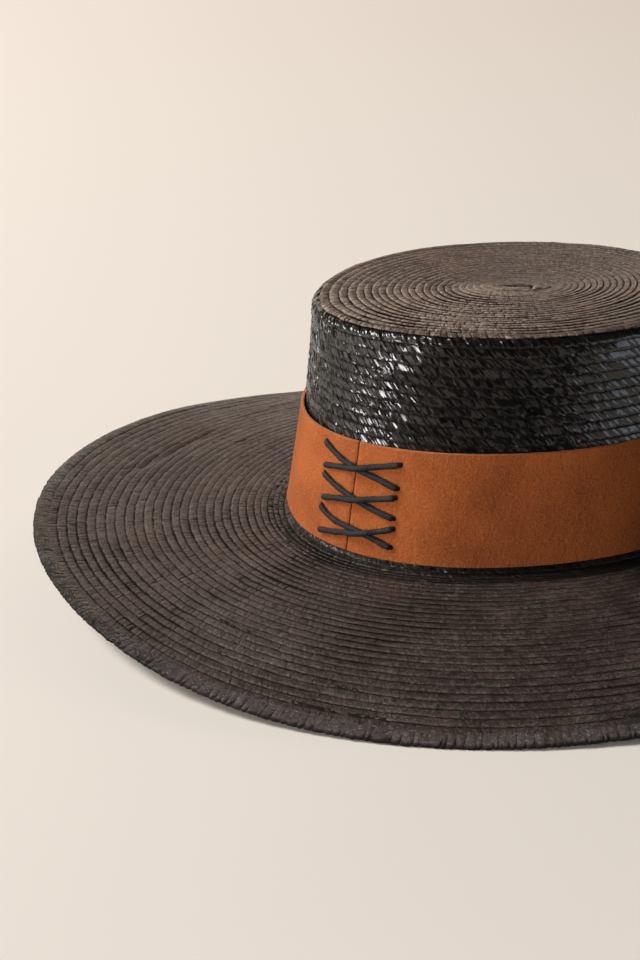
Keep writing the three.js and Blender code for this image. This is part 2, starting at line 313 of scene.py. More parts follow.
def straw_material(name, dark, light, rough, spec, coat, coat_rough, fibre, facet, cell, cracks, dust, mottle, strand=0.22, fleck=0.3, painted_valley_shade=0.55, crack_at=0.33, glint=0.0):
    """Lacquered palm straw.  The attribute "braid" holds, for each point, the strand's own shade with painted light
    and shade added (x), the painted shade in its hollows (y) and the place across the row (z)."""
    m = Mat(name)
    at = m.node("ShaderNodeAttribute", attribute_name="braid").outputs["Vector"]
    sep = m.node("ShaderNodeSeparateXYZ")
    m.link(at, sep.inputs[0])
    shade, painted_hollow_shade, across = sep.outputs
    uv, obj = m.uv(), m.obj()
    # fibres run along the strand, so they are narrow along the row
    fib = m.noise(m.vmath("MULTIPLY", uv, (4.6, 0.55, 1.0)), 1.0, 3.0, 0.62)
    split = m.noise(m.vmath("MULTIPLY", uv, (1.5, 0.42, 1.0)), 1.0, 2.0, 0.5)
    streak = m.noise(m.vmath("MULTIPLY", uv, (0.95, 0.30, 1.0)), 1.0, 2.0, 0.55)
    blotch = m.noise(obj, 26.0, 3.0, 0.55)
    patch = m.noise(obj, 150.0, 2.0, 0.5)
    wide = m.noise(obj, 34.0, 2.0, 0.5)
    spot = m.noise(m.vmath("MULTIPLY", uv, (0.85, 2.4, 1.0)), 1.0, 1.0, 0.5)
    run = m.noise(m.vmath("MULTIPLY", uv, (0.16, 0.30, 1.0)), 1.0, 2.0, 0.6)
    grain = m.noise(obj, 1100.0, 2.0, 0.6)
    fine = m.noise(obj, 430.0, 3.0, 0.65)
    # each strand is a few flat fibres that lie at their own tilt
    cells = m.node("ShaderNodeTexVoronoi", voronoi_dimensions="2D", feature="F1")
    here = m.vmath("MULTIPLY", uv, (1 / cell[0], 1 / cell[1], 1.0))
    m.link(here, cells.inputs["Vector"])
    cells.inputs["Scale"].default_value = 1.0
    local = m.vmath("SUBTRACT", here, cells.outputs["Position"])
    lean = m.vmath("SUBTRACT", cells.outputs["Color"], (0.5, 0.5, 0.5))
    # most lie nearly flat, a few stand well up
    lean = m.vmath("MULTIPLY", lean, m.vmath("ADD", m.vmath("ABSOLUTE", lean, (0, 0, 0)), (0.08, 0.08, 0.08)))
    dot = m.node("ShaderNodeVectorMath", operation="DOT_PRODUCT")
    m.link(local, dot.inputs[0])
    m.link(lean, dot.inputs[1])
    flat = dot.outputs["Value"]
    if coat > 0.5:                                                  # satin where the strands lie flattest
        flat = m.math("MULTIPLY", flat, m.ramp(shade, 1.1, 1.9, 1.0, 0.25))
    tone = m.node("ShaderNodeSeparateXYZ")
    m.link(cells.outputs["Color"], tone.inputs[0])

    f = m.math("ADD", m.math("MULTIPLY", shade, strand), m.math("MULTIPLY", fib, 0.26))
    f = m.math("ADD", f, m.math("MULTIPLY", streak, 0.34))
    f = m.math("ADD", f, m.math("MULTIPLY", blotch, 0.34))
    f = m.math("ADD", f, m.math("MULTIPLY", tone.outputs[2], 0.12))
    f = m.math("ADD", f, m.math("MULTIPLY", m.math("SUBTRACT", fine, 0.5), 1.25))
    f = m.ramp(f, 0.36, 0.94)
    col = m.mix(f, dark, light)
    red = tuple(c * k for c, k in zip(light[:3], (1.10, 0.80, 0.66))) + (1.0,)
    grey = tuple(c * k for c, k in zip(light[:3], (0.74, 0.86, 0.92))) + (1.0,)
    col = m.mix(m.math("MULTIPLY", m.ramp(wide, 0.50, 0.68), mottle), col, red)
    col = m.mix(m.math("MULTIPLY", m.ramp(patch, 0.54, 0.68), mottle), col, grey)
    # row edges and dry patches are rubbed paler
    rub = m.math("MULTIPLY", m.ramp(across, 0.55, 0.95), m.ramp(m.math("MULTIPLY", m.math("ADD", split, run), 0.5), 0.44, 0.62))
    pale = tuple(min(1.0, c * 2.6) for c in light[:3]) + (1.0,)
    col = m.mix(m.math("MULTIPLY", rub, dust), col, pale)
    col = m.mix(m.math("MULTIPLY", m.ramp(m.math("ADD", m.math("MULTIPLY", spot, 0.7), m.math("MULTIPLY", fine, 0.3)), 0.57, 0.65), fleck), col, pale)
    if glint:
        # painted highlight: pale dashes along the rows, as glints on the straw
        dash = m.noise(m.vmath("MULTIPLY", uv, (0.62, 3.4, 1.0)), 1.0, 2.0, 0.6)
        glint_breakup = m.noise(obj, 60.0, 2.0, 0.5)
        dash = m.ramp(m.math("ADD", m.math("MULTIPLY", dash, 0.75), m.math("MULTIPLY", glint_breakup, 0.25)), 0.575, 0.610)
        glint_colour = tuple(min(1.0, c * k) for c, k in zip(light[:3], (3.6, 4.2, 4.4))) + (1.0,)
        col = m.mix(m.math("MULTIPLY", dash, glint), col, glint_colour)
    # splits between the fibres
    crack = m.ramp(m.noise(m.vmath("MULTIPLY", uv, (1.9, 0.22, 1.0)), 1.0, 2.0, 0.7, 0.15), crack_at, crack_at - 0.045)
    crack = m.math("MULTIPLY", crack, cracks)
    # painted shade on the inner part of each row, where it lies under the row above
    inner = m.math("MULTIPLY", m.ramp(across, 0.25, 0.03, 0.0, painted_valley_shade), m.ramp(run, 0.36, 0.52, 0.35, 1.0))
    # painted shade in the hollows and in the valleys under the row above, together with the dark splits between
    # fibres, takes the colour towards near black
    deep = m.math("MAXIMUM", m.math("MULTIPLY", painted_hollow_shade, 0.95), crack)
    deep = m.math("MAXIMUM", deep, inner, clamp=True)
    col = m.mix(deep, col, rgb(0.0035, 0.003, 0.0028))
    m.link(col, m.b.inputs["Base Color"])

    r = m.math("ADD", m.math("MULTIPLY", m.math("SUBTRACT", blotch, 0.5), 0.30), rough)
    r = m.math("ADD", r, m.math("MULTIPLY", m.math("SUBTRACT", tone.outputs[0], 0.5), 0.16))
    r = m.math("ADD", r, m.math("MULTIPLY", deep, 0.45), clamp=True)
    m.link(r, m.b.inputs["Roughness"])
    laid = m.math("MULTIPLY", m.math("SUBTRACT", 1.0, deep), coat)
    if coat > 0.5:                                                  # the lacquer is thicker on some strands
        # the shade channel also carries the painted light and shade, so on the side this lays on more lacquer as a
        # painted sheen at the right and less where the side faces the camera
        laid = m.math("MULTIPLY", laid, m.math("ADD", m.math("MULTIPLY", shade, 0.50), 0.82))
    m.link(m.math("MINIMUM", laid, 1.0, clamp=True), m.b.inputs["Coat Weight"])
    m.b.inputs["Coat Roughness"].default_value = coat_rough
    m.b.inputs["Specular IOR Level"].default_value = spec
    m.b.inputs["Specular Tint"].default_value = rgb(1.0, 0.84, 0.73)

    h = m.math("ADD", m.math("MULTIPLY", fib, 0.8), m.math("MULTIPLY", split, 0.6))
    h = m.math("ADD", h, m.math("MULTIPLY", grain, 0.16))
    h = m.math("ADD", h, m.math("MULTIPLY", fine, 1.5))
    h = m.math("SUBTRACT", h, m.math("MULTIPLY", crack, 1.2))
    rough_normal = m.bump(h, fibre)
    both = m.bump(flat, facet, 1.0, rough_normal)
    m.link(both, m.b.inputs["Normal"])
    m.link(m.bump(flat, facet), m.b.inputs["Coat Normal"])
    return m.m


def leather_material():
    m = Mat("leather_band")
    obj = m.obj()
    at = m.node("ShaderNodeAttribute", attribute_name="braid").outputs["Vector"]
    sep = m.node("ShaderNodeSeparateXYZ")
    m.link(at, sep.inputs[0])
    edge, painted_dip_shade, _ = sep.outputs
    nap = m.noise(obj, 1500.0, 3.0, 0.65)
    cloud = m.noise(obj, 45.0, 4.0, 0.6)
    wide = m.noise(obj, 12.0, 2.0, 0.5)
    f = m.math("ADD", m.math("MULTIPLY", nap, 0.55), m.math("MULTIPLY", cloud, 0.30))
    f = m.math("ADD", f, m.math("MULTIPLY", wide, 0.25))
    col = m.mix(m.ramp(f, 0.36, 0.70), rgb(0.180, 0.041, 0.0093), rgb(0.396, 0.105, 0.0254))
    specks = m.ramp(m.noise(obj, 900.0, 2.0, 0.7), 0.58, 0.72)
    col = m.mix(m.math("MULTIPLY", specks, 0.42), col, rgb(0.50, 0.160, 0.045))
    col = m.mix(m.math("MULTIPLY", edge, 0.75), col, rgb(0.40, 0.150, 0.060))
    # painted shade round the lacing holes and in the seam's dip
    col = m.mix(m.math("MULTIPLY", painted_dip_shade, 0.55), col, rgb(0.11, 0.026, 0.007))
    m.link(col, m.b.inputs["Base Color"])
    m.link(m.ramp(cloud, 0.3, 0.7, 0.78, 0.92), m.b.inputs["Roughness"])
    m.b.inputs["Specular IOR Level"].default_value = 0.15
    m.b.inputs["Sheen Weight"].default_value = 0.08
    m.b.inputs["Sheen Roughness"].default_value = 0.45
    m.b.inputs["Sheen Tint"].default_value = rgb(1.0, 0.72, 0.48)
    h = m.math("ADD", m.math("MULTIPLY", nap, 0.6), m.math("MULTIPLY", m.noise(obj, 480.0, 3.0, 0.6), 0.9))
    h = m.math("ADD", h, m.math("MULTIPLY", cloud, 0.6))
    m.link(m.bump(h, 0.00058, 1.0), m.b.inputs["Normal"])
    return m.m


def cord_material():
    m = Mat("lace_cord")
    uv = m.uv()
    fine = m.noise(m.vmath("MULTIPLY", uv, (0.7, 9.0, 1.0)), 1.0, 3.0, 0.6)
    fuzz = m.noise(m.obj(), 1400.0, 2.0, 0.6)
    col = m.mix(fine, rgb(0.0035, 0.0036, 0.0038), rgb(0.0160, 0.0164, 0.0168))
    m.link(col, m.b.inputs["Base Color"])
    m.link(m.ramp(fuzz, 0.3, 0.7, 0.50, 0.78), m.b.inputs["Roughness"])
    m.b.inputs["Specular IOR Level"].default_value = 0.28
    h = m.math("ADD", m.math("MULTIPLY", fine, 0.8), m.math("MULTIPLY", fuzz, 0.3))
    m.link(m.bump(h, 0.00030, 1.0), m.b.inputs["Normal"])
    return m.m


#                                        darkest                     palest                 rough spec  coat  its rough fibre   facet    cell mm     cracks dust mottle
STRAW_TIP = straw_material("straw_tip", rgb(0.066, 0.048, 0.039), rgb(0.206, 0.152, 0.124),
                           0.56, 0.17, 0.00, 0.35, 0.00016, 0.00024, (1.3, 2.4), 0.75, 0.45, 0.16, 0.24, 0.40, 0.96, 0.35)
STRAW_END = straw_material("straw_raw_end", rgb(0.12, 0.090, 0.073), rgb(0.23, 0.175, 0.145),
                           0.56, 0.20, 0.00, 0.35, 0.00010, 0.00010, (1.3, 2.4), 0.30, 0.10, 0.10)
STRAW_SIDE = straw_material("straw_crown", rgb(0.0026, 0.0023, 0.0022), rgb(0.0084, 0.0072, 0.0066),
                            0.50, 0.09, 0.80, 0.13, 0.00005, 0.00150, (1.05, 2.7), 0.45, 0.10, 0.10, 0.30, 0.15)
STRAW_FOOT = straw_material("straw_foot", rgb(0.005, 0.0042, 0.0038), rgb(0.016, 0.0125, 0.0105),
                            0.48, 0.22, 0.15, 0.16, 0.00010, 0.00080, (1.1, 1.6), 0.40, 0.20, 0.20, 0.30, 0.40)
STRAW_BRIM = straw_material("straw_brim", rgb(0.0112, 0.0078, 0.0066), rgb(0.053, 0.0372, 0.0316),
                            0.52, 0.27, 0.06, 0.26, 0.00028, 0.00034, (1.2, 2.0), 1.00, 0.35, 0.45, 0.12, 1.00, 0.96, 0.385, 0.70)
STRAW_EDGE = straw_material("straw_edge", rgb(0.0085, 0.0066, 0.0058), rgb(0.056, 0.0460, 0.0440),
                            0.50, 0.16, 0.12, 0.22, 0.00020, 0.00060, (1.5, 1.5), 0.80, 0.45, 0.25, 0.16, 0.90, 0.55, 0.33, 0.85)
LEATHER = leather_material()
CORD = cord_material()

# ---------------------------------------------------------------------------
# The sewn braid: one spiral strip from the middle of the tip over the crown
# and the brim.  A turn's outer part lies over the inner part of the next.
# ---------------------------------------------------------------------------
#   distance, width of a row there
ROW_WIDTH = [(0, 3.0), (56, 3.05), (62, 3.6), (70, 4.1), (S_TIP, 4.5), (S_SHOULDER + 3, 4.45), (S_SIDE - 8, 4.4),
             (S_SIDE - 2, 2.6), (S_FOOT + 5, 2.6), (S_FOOT + 12, 3.5), (S_FOOT + 20, 3.9), (S_FOOT + 45, 4.1), (S_FOOT + 66, 4.45),
             (S_EDGE, 4.6)]
sg = np.arange(0, S_EDGE + 40, 0.05)
row_w = np.interp(sg, [r[0] for r in ROW_WIDTH], [r[1] for r in ROW_WIDTH])
tau_of = np.concatenate([[0], np.cumsum(0.05 / row_w[:-1])])
S1, S2 = S_EDGE - EDGE_W, S_EDGE - 2.6


def sig_at(tau):
    s = np.interp(tau, tau_of, sg)
    s = np.where(tau < 0, tau * ROW_WIDTH[0][1], s)
    s = np.where(s < 1, np.exp(np.minimum(s, 1) - 1), s)
    return np.where(s > S1, S1 + (S2 - S1) * (1 - np.exp(-(np.maximum(s, S1) - S1) / (S2 - S1))), s)


tau_sh = np.interp(S_TIP + 3.0, sg, tau_of)
TH0 = (282 * RAD - 2 * math.pi * tau_sh) % (2 * math.pi)
TAU_END = np.interp(S_EDGE - EDGE_W + 0.2, sg, tau_of)
tg = np.arange(0, TAU_END + 2, 1 / 900)
pts = surf(sig_at(tg + 0.5), TH0 + 2 * math.pi * tg)
ug = np.concatenate([[0], np.cumsum(np.linalg.norm(np.diff(pts, axis=0), axis=1))])
sig_g = sig_at(tg + 0.5)
U_END = np.interp(TAU_END, tg, ug)


def by_region(sig, tip, side, brim):
    """A value for each part of the hat, changing over a few millimetres."""
    v = tip + (side - tip) * smooth(S_TIP - 1, S_SHOULDER, sig)
    v = v + (brim - v) * smooth(S_SIDE - 1, S_FOOT + 2, sig)
    return v


# strands: their boundaries along the strip
strand_len = by_region(sig_g, 3.5, 4.3, 2.9) * (0.6 + 0.4 * smooth(0, 26, sig_g))
kap = np.concatenate([[0], np.cumsum(np.diff(ug) / strand_len[:-1])])
K = int(np.interp(U_END, ug, kap))
rng = np.random.default_rng(20)
kk = np.arange(K + 1) + rng.uniform(-0.31, 0.31, K + 1)
kk[0] = 0.5
UB = np.interp(kk, kap, ug)
RA, RB, RC, RD = rng.uniform(-1, 1, (4, K + 1))
SHADE = np.clip(0.5 + 0.24 * rng.standard_normal(K + 1), 0, 1)
DEEP = 0.25 + 1.1 * rng.random(K + 1) ** 1.4                    # how open each boundary is
OPEN = rng.random(K + 1)
SHADE = np.where(UB < 38, 0.98, SHADE)                           # the first turns are paler

# how far the straw stands out from the plain face, along the surface
STAND = [(0, 0.25), (40, 0.45), (S_TIP - 3, 0.55), (S_TIP + 3, 0.95), (S_SHOULDER + 2, 0.75),
         (S_SHOULDER + CROWN_H - SHOULDER_R - BAND_H - 7, 0.75), (S_SHOULDER + CROWN_H - SHOULDER_R - BAND_H, -0.05),
         (S_SIDE - 8, -0.25), (S_SIDE, -0.30), (S_FOOT + 4, -0.10), (S_FOOT + 12, 0.10), (S_EDGE - 17, 0.10),
         (S_EDGE - 8, 0.62), (S_EDGE, 0.62)]

#                  across   top?  below
SECTION = [(-0.38, 1, 0.0), (0.02, 1, 0.0), (0.28, 1, 0.0), (0.60, 1, 0.0), (0.90, 1, 0.0),
           (1.00, 1, -0.30), (0.97, 0, 0.0), (0.25, 0, 0.0), (-0.36, 0, 0.0)]
W = np.array([s[0] for s in SECTION])
TOP = np.array([s[1] for s in SECTION], bool)
DROP = np.array([s[2] for s in SECTION])

# marks of use on the brim: (x0, y0, x1, y1, depth, width), in mm
CREASES = [(-186, 50, -132, 114, -0.9, 2.6), (-152, 84, -146, 94, -0.8, 1.2),
           (-141, 100, -137, 108, -0.8, 1.2), (-183, 60, -176, 67, -0.9, 1.3),
           (-120, 132, -82, 165, 0.7, 2.4)]


def strip(name, u0, u1, material, fractions=(0.0, 0.09, 0.50, 0.91)):
    """A stretch of the braid, as one closed mesh."""
    k0, k1 = np.searchsorted(UB, u0), min(np.searchsorted(UB, u1), K)
    fr = np.array(fractions)
    ks = np.arange(k0, k1)
    U = (UB[ks][:, None] + fr[None, :] * (UB[ks + 1] - UB[ks])[:, None]).ravel()
    F = np.tile(fr, len(ks))
    KS = np.repeat(ks, len(fr))
    U, F, KS = np.append(U, UB[k1]), np.append(F, 0.0), np.append(KS, k1)
    sc = np.interp(U, ug, sig_g)
    width = np.interp(sc, [r[0] for r in ROW_WIDTH], [r[1] for r in ROW_WIDTH])
    shear = by_region(sc, 0.42, 0.95, 0.38) * smooth(0, 60, U)
    slant = shear[:, None] * (W - 0.5) * width[:, None]
    TT = np.interp(U[:, None] + slant, ug, tg)
    th0 = TH0 + 2 * math.pi * np.interp(U, ug, tg)
    # looser and rougher at one side, pressed flat elsewhere
    rough = (by_region(sc, 1.0, 0.0, 0.0) * (0.22 + 0.78 * smooth(-0.1, 0.8, np.cos(th0 - 208 * RAD)))
             + by_region(sc, 0.0, 1.0, 0.0)
             + by_region(sc, 0.0, 0.0, 1.0) * (0.56 + 0.44 * smooth(0.15, 0.95, np.cos(th0 - 182 * RAD))))

    # outline of the row: it wanders, and every strand ends at its own length
    soft = by_region(sc, 1.0, 0.30, 0.80) * (0.55 + 0.45 * rough)
    wander = (0.045 * value_noise(U / 19.0, 5) + 0.035 * value_noise(U / 3.1, 12)
              + 0.055 * RD[KS] + np.where(F == 0, -0.05, 0.0)) * soft
    w = W[None, :] + wander[:, None] * smooth(0.55, 1.0, W)[None, :]
    sig, th = sig_at(TT + w), TH0 + 2 * math.pi * TT
    P, N, _ = surf_frame(sig, th)

    # some stretches are pressed down, others stand open
    px, py = P[:, 4, 0], P[:, 4, 1]
    blob = 0.75 * value_noise((px + 0.45 * py) / 24.0 + 900, 21) + 0.75 * value_noise((py - 0.6 * px) / 19.0 + 900, 22)
    open_ = 0.5 + 0.5 * np.clip(by_region(sc, 0.6, 0.5, 1.0) * blob + 0.45 * value_noise(U / 16.0, 13)
                                + 0.35 * value_noise(U / 4.7, 14), -1, 1)
    # on the brim the strands show one by one only at one side
    single = by_region(sc, 1.0, 1.0, 0.0) + by_region(sc, 0.0, 0.0, 1.0) * (
        0.05 + 0.95 * smooth(0.66, 0.99, np.cos(th0 - 196 * RAD))) * (0.45 + 0.55 * open_)
    near_top = smooth(S_SHOULDER + 16, S_SHOULDER + 4, sc) * smooth(S_TIP, S_SHOULDER, sc)
    # the rows step out most, and the strands lie flattest, at one place high on the side
    sheen = near_top * smooth(0.90, 0.985, np.cos(th0 - 228 * RAD))
    satin = by_region(sc, 0.0, 1.0, 0.0) * smooth(0.90, 0.97, np.cos(th0 - 302 * RAD))
    t = by_region(sc, 0.94, 0.46, 0.56) * (0.30 + 1.20 * open_) * (0.28 + by_region(sc, 1.00, 0.80, 0.82) * rough) + 0.40 * near_top + 0.34 * sheen
    t = t + 0.07 * RC[KS] * rough * single
    t = np.maximum(t, 0.36 * smooth(S_EDGE - 20, S_EDGE - 15, sc))    # the rows step up towards the roll
    calm = 0.16 + 0.84 * smooth(160, 900, U)                          # the first turns are pressed flat
    t = (t * calm)[:, None]
    thick = by_region(sc, 0.60, 0.56, 0.60)[:, None]
    h = -t * (1 - w)
    pillow = (by_region(sc, 0.32, 0.07, 0.10) * (0.5 + 0.5 * rough) * calm)[:, None] * 4 * np.clip(w, 0, 1) * (1 - np.clip(w, 0, 1))
    amp = by_region(sc, 0.32, 0.10, 0.13) * rough * single * calm
    deep = DEEP[KS] * np.where(OPEN[KS] > 0.93, by_region(sc, 1.8, 1.8, 3.4), 1.0)
    groove = np.where(F == 0, -amp * deep, np.where(np.abs(F - 0.5) < 0.2, 0.16, 0.06) * amp)
    tilt = by_region(sc, 0.16, 0.58, 0.16) * rough * single * (1 - 0.6 * sheen) * (1 - 0.85 * satin)
    own = np.where(F == 0, 0.0, tilt * RA[KS] * (F - 0.5) + by_region(sc, 0.05, 0.05, 0.07) * RC[KS] * rough * single)
    lean = np.where(F == 0, 0.0, by_region(sc, 0.12, 0.50, 0.14) * RB[KS] * rough * (0.3 + 0.7 * single) * (1 - 0.6 * sheen) * (1 - 0.85 * satin))
    sway = by_region(sc, 0.08, 0.05, 0.08) * value_noise(U / 13.0, 6) + by_region(sc, 0.11, 0.08, 0.13) * value_noise(U / 47.0, 7)
    start = 0.40 * np.exp(-U / 70.0) + np.interp(sc, [r[0] for r in STAND], [r[1] for r in STAND])
    top = (h + pillow + (groove + own)[:, None] * (0.35 + 0.65 * smooth(-0.4, 0.1, W))[None, :]
           + lean[:, None] * (np.clip(w, 0, 1) - 0.5) + DROP[None, :])
    low = h - thick - 0.35 * groove[:, None] + 0.05 * RC[KS][:, None]
    jitter = by_region(sc, 0.045, 0.035, 0.075)[:, None] * np.random.default_rng(int(u0) + 7).uniform(-1, 1, P.shape[:2])
    slit = 0.9 * smooth(37, 31, U)[:, None] * (W < 0.1)[None, :]      # the two sides of the first turn meet in a slit
    n = np.where(TOP[None, :], top + jitter, low) + (sway + start)[:, None] - np.where(TOP[None, :], slit, 0)
    for x0, y0, x1, y1, depth, wide in CREASES:
        d = np.array([x1 - x0, y1 - y0], float)
        along = ((P[..., 0] - x0) * d[0] + (P[..., 1] - y0) * d[1]) / (d @ d)
        c = np.clip(along, 0, 1)
        dist = np.hypot(P[..., 0] - x0 - c * d[0], P[..., 1] - y0 - c * d[1])
        fade = np.clip(4 * np.minimum(c + 0.02, 1.02 - c), 0, 1)
        n = n + np.where(P[..., 2] < 20, depth * fade * np.exp(-(dist / wide) ** 2), 0)
    V = P + N * n[..., None]

    cols, ring = V.shape[:2]
    begun = smooth(31, 40, U)[:, None]                               # the first turn has nothing over its inner edge
    # painted shade: in the gaps between strands, on the inner part of each row under the row above (less near the
    # roll), and along the first turn's inner edge as the slit's shade
    painted_hollow_shade = np.where(F == 0, np.clip(0.10 + 0.60 * deep, 0, 1) * (0.35 + 0.65 * rough) * single, 0.0)[:, None] * np.ones(ring)
    under = np.where(W < 0.1, 0.95, np.where(W < 0.3, 0.10, 0.0))[None, :] * (0.15 + 0.85 * open_)[:, None]
    under = under * (1 - 0.55 * smooth(S_EDGE - 22, S_EDGE - 15, sc))[:, None]
    painted_hollow_shade = np.maximum(painted_hollow_shade, under * begun * calm[:, None])
    painted_hollow_shade = np.maximum(painted_hollow_shade, np.where(W < 0.1, 1.0, 0.0)[None, :] * (1 - begun))
    # painted shade on the cut face of the row's outer edge and on the strip's underside
    step = np.array([0, 0, 0, 0, 0, 1, 1, 0, 0])                      # the cut face of the row's outer edge
    painted_hollow_shade = np.where(TOP[None, :], painted_hollow_shade, 0.35)
    painted_hollow_shade = np.maximum(painted_hollow_shade, step[None, :] * (by_region(sc, 0.55, 0.45, 0.80) * (0.45 + 0.55 * open_))[:, None])
    uv = np.stack([U[:, None] + 0 * W, W * width[:, None]], -1).reshape(-1, 2)
    settled = begun * smooth(90, 900, U)[:, None]
    across = W[None, :] * settled + np.maximum(W[None, :], 0.42) * (1 - settled)
    # painted light and shade by side: the tip lighter towards the light, darker on its far side, at its rim and on its
    # outer rows at the front; the side with a painted sheen at its right, paler with more lacquer, and darker with
    # less lacquer where it faces the camera; the brim lighter towards the light and darker away from it
    painted_light_and_shade = (by_region(sc, 1.0, 0.0, 0.0) * (1.0 * np.maximum(0, np.cos(th0 - 200 * RAD)) ** 2 - np.maximum(0, np.sin(th0))
                                             - 2.4 * smooth(S_TIP - 1.5, S_TIP + 1.0, sc)
                                             - 1.1 * smooth(S_TIP - 9, S_TIP - 4, sc) * smooth(0.3, 0.9, np.cos(th0 - 275 * RAD)))
             + by_region(sc, 0.0, 1.0, 0.0) * (1.9 * satin - 0.7 * smooth(0.935, 0.99, np.cos(th0 - 257 * RAD)))
             + by_region(sc, 0.0, 0.0, 1.0) * (3.4 * np.cos(th0 - 170 * RAD) - 0.65))
    braid = np.stack([(SHADE[KS] + painted_light_and_shade)[:, None] + 0 * W, painted_hollow_shade, across + 0 * painted_hollow_shade], -1).reshape(-1, 3)
    quads = tube_quads(cols, ring)[:, ::-1]
    tris = np.concatenate([cap(ring, 0, False), cap(ring, (cols - 1) * ring, True)])
    return mesh_object(name, V.reshape(-1, 3), quads, material, tris, uv, braid, sharp=48)


def u_at(sig):
    """Length of strip up to the row that begins at this distance."""
    return np.interp(np.interp(sig, sg, tau_of), tg, ug)


parts = {}
U_TIP = u_at(S_TIP - 1.2)
U_BAND = u_at(S_SHOULDER + CROWN_H - SHOULDER_R - BAND_H + 3)
U_FOOT = u_at(S_SIDE - 5)
U_BRIM = u_at(S_FOOT + 5)
parts["tip"] = strip("straw_tip", 0, U_TIP, STRAW_TIP, (0.0, 0.12, 0.88))
parts["side"] = strip("straw_side", U_TIP, U_BAND, STRAW_SIDE)
parts["behind"] = strip("straw_side_behind_band", U_BAND, U_FOOT, STRAW_SIDE, (0.0, 0.5))
parts["foot"] = strip("straw_foot", U_FOOT, U_BRIM, STRAW_FOOT, (0.0, 0.12, 0.88))
third = (U_END - U_BRIM) / 3
for i, nm in enumerate(("inner", "middle", "outer")):
    parts[nm] = strip("straw_brim_" + nm, U_BRIM + i * third, U_BRIM + (i + 1) * third, STRAW_BRIM,
                      (0.0, 0.12, 0.88))


